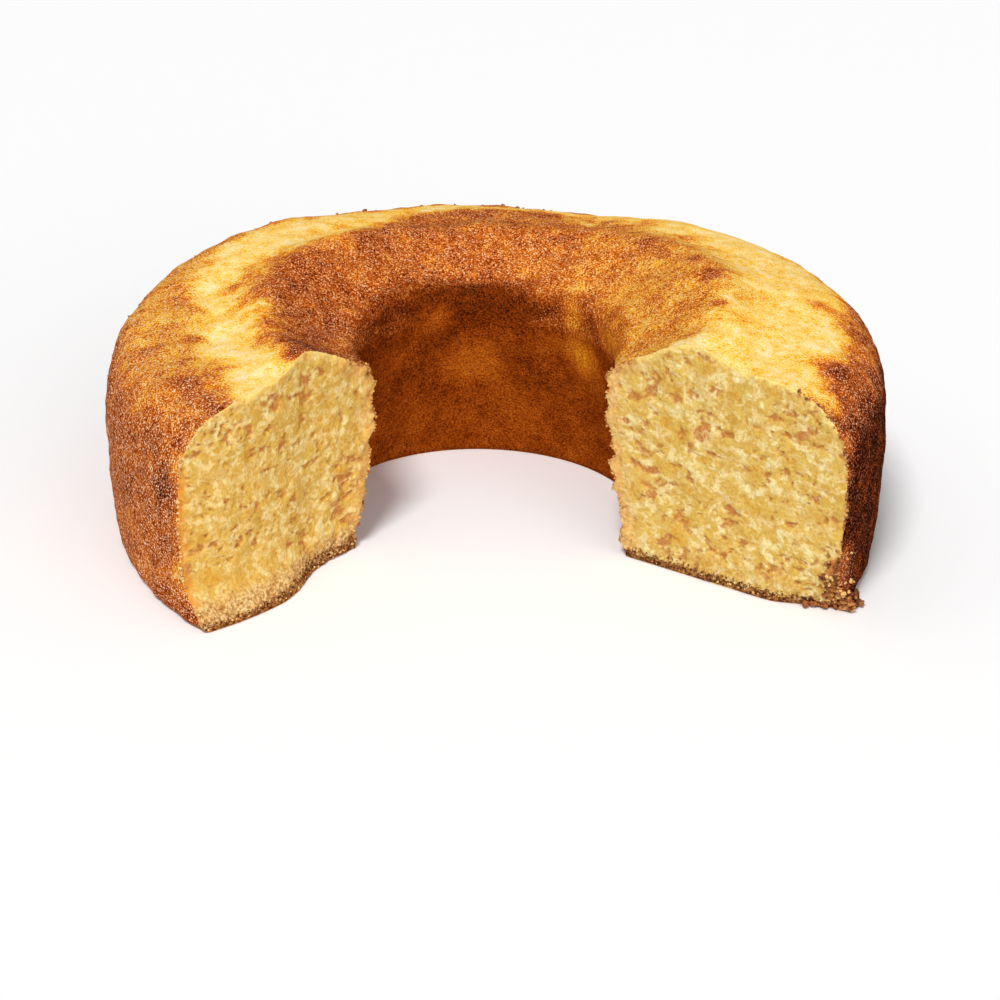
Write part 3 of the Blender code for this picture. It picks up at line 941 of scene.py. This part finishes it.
def rough_lump(mesh, middle, half_width, ball, shade):
    """A small rough lump of baked crumb, squeezed and torn from this plain ball."""
    flat = Vector(clinging.uniform(*span) for span in LUMP_SPANS)
    shift = Vector((clinging.random(), clinging.random(), clinging.random()))
    made = []
    for place in ball[0]:
        rough = noise.fractal(place / LUMP_ROUGH_SIZE + shift * APART, 1.0, 2.0, 3)
        bulge = 1.0 + LUMP_ROUGH * rough
        spot = middle + half_width * bulge * Vector(part * size for part, size in zip(place, flat))
        spot.z = max(spot.z, cad_low.z)
        corner = mesh.verts.new(spot)
        corner[mesh.verts.layers.float["shade"]] = shade
        made.append(corner)
    for places in ball[1]:
        mesh.faces.new([made[place] for place in places])


def beside(spot):
    """A spot a little above or below this one, so that no row of crumbs is even."""
    return spot + Vector((0.0, 0.0, clinging.uniform(-EDGE_STRAY, EDGE_STRAY)))


crumbs = bmesh.new()
crumbs.verts.layers.float.new("shade")
small_ball, large_ball = plain_ball(CRUMB_SIDES), plain_ball(SCRAP_SIDES)
low_places = [place for place in cut_corners if FOOT_LOWEST < place[0].z < FOOT_HEIGHT]
for turn in range(FOOT_CRUMBS):
    spot, outward = clinging.choice(low_places)
    inward = inwardness(ring_place(spot)[0])
    sparse = 0.0 if spot.x < 0.0 else RIGHT_SPARSE
    if clinging.random() < sparse + spot.z / FOOT_HEIGHT:
        continue
    darkest = FOOT_SHADES[1] + BROWNER * inward + (BROWNER if spot.z < SINGED_BELOW else 0.0)
    shade = clinging.uniform(FOOT_SHADES[0], darkest)
    sunk = outward * CRUMB_SIZES[0]
    rough_lump(crumbs, spot - sunk, clinging.uniform(*CRUMB_SIZES), small_ball, shade)
for turn in range(HOLE_CRUMBS):
    spot = beside(clinging.choice(hole_edge))
    shade = clinging.uniform(*HOLE_SHADES)
    rough_lump(crumbs, spot, clinging.uniform(*CRUMB_SIZES), small_ball, shade)
for turn in range(TORN_CRUMBS):
    spot = clinging.choice(torn_corner)
    low = 1.0 - spot.z / TORN_TOP
    if clinging.random() < low:
        half = TORN_SIZES[0] + (TORN_SIZES[1] - TORN_SIZES[0]) * low * clinging.random()
        rough_lump(crumbs, spot, half, small_ball, clinging.choice(TORN_SHADES))
for turn in range(WALL_CRUMBS):
    spot = beside(clinging.choice(wall_edge))
    shade = clinging.uniform(*WALL_SHADES) + (RIGHT_WALL_SHADE if spot.x > 0.0 else 0.0)
    rough_lump(crumbs, spot, clinging.uniform(*CRUMB_SIZES), small_ball, shade)
for degrees, out, up, half in SCRAPS:
    spot = ring_point(degrees, out / 1000, up / 1000)
    rough_lump(crumbs, spot, half / 1000, large_ball, clinging.uniform(*SCRAP_SHADES))
for turn in range(RIM_FLAKES):
    out, up = clinging.uniform(*FLAKE_OUT), clinging.uniform(*FLAKE_UP)
    spot = skin_places.find(ring_point(clinging.uniform(*FLAKE_TURN), out, up))[0]
    half, shade = clinging.uniform(*FLAKE_SIZES), clinging.uniform(*FLAKE_SHADES)
    rough_lump(crumbs, spot, half, small_ball, shade)
crumbs_mesh = bpy.data.meshes.new("clinging_crumbs")
crumbs.to_mesh(crumbs_mesh)
crumbs.free()
crumbs_mesh.shade_smooth()
clinging_crumbs = bpy.data.objects.new("clinging_crumbs", crumbs_mesh)
bpy.context.scene.collection.objects.link(clinging_crumbs)

CRUMB_COLOURS = (                   # from the palest crumb to a bit of the dark crust
    (0.00, linear(252, 220, 150)),
    (0.30, linear(238, 196, 120)),
    (0.50, linear(214, 150, 76)),
    (0.75, linear(156, 84, 30)),
    (1.00, linear(92, 42, 16)),
)


def loose_crumb():
    """Baked crumb: pale sponge, or a bit of brown crust, as each lump's shade says."""
    material, tree, shader = new_material("loose_crumb", 0.8)
    grain = place_grain(tree, LUMP_GRAIN, 0.8).outputs["Height"]
    tone = plus(tree, attribute(tree, "shade"), swing(tree, grain, 0.9, -0.5))
    tree.links.new(colour_ramp(tree, tone, CRUMB_COLOURS), shader.inputs["Base Color"])
    bump(tree, shader, grain, 0.7, GRAIN_DEPTH)
    return material


crumbs_mesh.materials.append(loose_crumb())
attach(clinging_crumbs, "root")

# ---------------------------------------------------------------------------
# The studio: a pale floor, a soft light from high up on the front left, weaker
# ones from the right and from overhead, and a camera at the photograph's angle.
# ---------------------------------------------------------------------------
CAMERA_DISTANCE = 0.850
CAMERA_HEIGHT_ANGLE = math.radians(25.2)
CAMERA_PAN = math.radians(0.136)
CAMERA_TILT = math.radians(0.276)
CAMERA_ROLL = math.radians(1.142)
CAMERA_LENS = 108.8
FLOOR_REACH = 3.0
FLOOR_DROP = 0.0002                 # the floor lies this far under the base
FLOOR_COLOUR = (0.96, 0.955, 0.955, 1.0)
SUNS = (                            # name, degrees left of the front, up and soft, strength
    ("key", 18.0, 54.0, 16.0, 0.78),
    ("fill", -30.0, 18.0, 50.0, 0.32),
    ("dome", 0.0, 84.0, 120.0, 0.20),
)
ROOM_LIGHT = 0.16

floor_mesh = bpy.data.meshes.new("floor")
sheet = bmesh.new()
bmesh.ops.create_grid(sheet, x_segments=1, y_segments=1, size=FLOOR_REACH)
bmesh.ops.translate(sheet, verts=sheet.verts, vec=(0, 0, -FLOOR_DROP))
sheet.to_mesh(floor_mesh)
sheet.free()
floor = bpy.data.objects.new("floor", floor_mesh)
bpy.context.scene.collection.objects.link(floor)
floor_material, tree, shader = new_material("pale_floor", 0.6)
shader.inputs["Base Color"].default_value = FLOOR_COLOUR
floor_mesh.materials.append(floor_material)


def soft_sun(name, from_left, height, softness, strength):
    """An even light from this many degrees left of the front, this high and this soft."""
    data = bpy.data.lights.new(name, "SUN")
    data.angle = math.radians(softness)
    data.energy = strength * math.pi
    turn, lift = math.radians(from_left), math.radians(height)
    back = Vector((
        -math.sin(turn) * math.cos(lift), -math.cos(turn) * math.cos(lift), math.sin(lift),
    ))
    light = bpy.data.objects.new(name, data)
    light.rotation_euler = (-back).to_track_quat("-Z", "Y").to_euler()
    bpy.context.scene.collection.objects.link(light)


for sun in SUNS:
    soft_sun(*sun)
world = bpy.data.worlds.new("studio")
world.use_nodes = True
room = world.node_tree.nodes["Background"]
room.inputs["Color"].default_value = WHITE
room.inputs["Strength"].default_value = ROOM_LIGHT
bpy.context.scene.world = world
bpy.context.scene.view_settings.view_transform = "Standard"

level = -CAMERA_HEIGHT_ANGLE + CAMERA_TILT
forward = Vector((
    math.sin(CAMERA_PAN) * math.cos(level), math.cos(CAMERA_PAN) * math.cos(level), math.sin(level),
))
right = Vector((math.cos(CAMERA_PAN), -math.sin(CAMERA_PAN), 0.0))
up = right.cross(forward)
rolled_right = right * math.cos(CAMERA_ROLL) + up * math.sin(CAMERA_ROLL)
rolled_up = up * math.cos(CAMERA_ROLL) - right * math.sin(CAMERA_ROLL)
camera_data = bpy.data.cameras.new("camera")
camera_data.lens = CAMERA_LENS
camera = bpy.data.objects.new("camera", camera_data)
back_off = Vector((
    0.0, -CAMERA_DISTANCE * math.cos(CAMERA_HEIGHT_ANGLE),
    CAMERA_DISTANCE * math.sin(CAMERA_HEIGHT_ANGLE),
))
camera.matrix_world = Matrix.Translation(RING_MIDDLE + back_off) @ Matrix(
    (rolled_right, rolled_up, -forward)
).transposed().to_4x4()
bpy.context.scene.collection.objects.link(camera)
bpy.context.scene.camera = camera
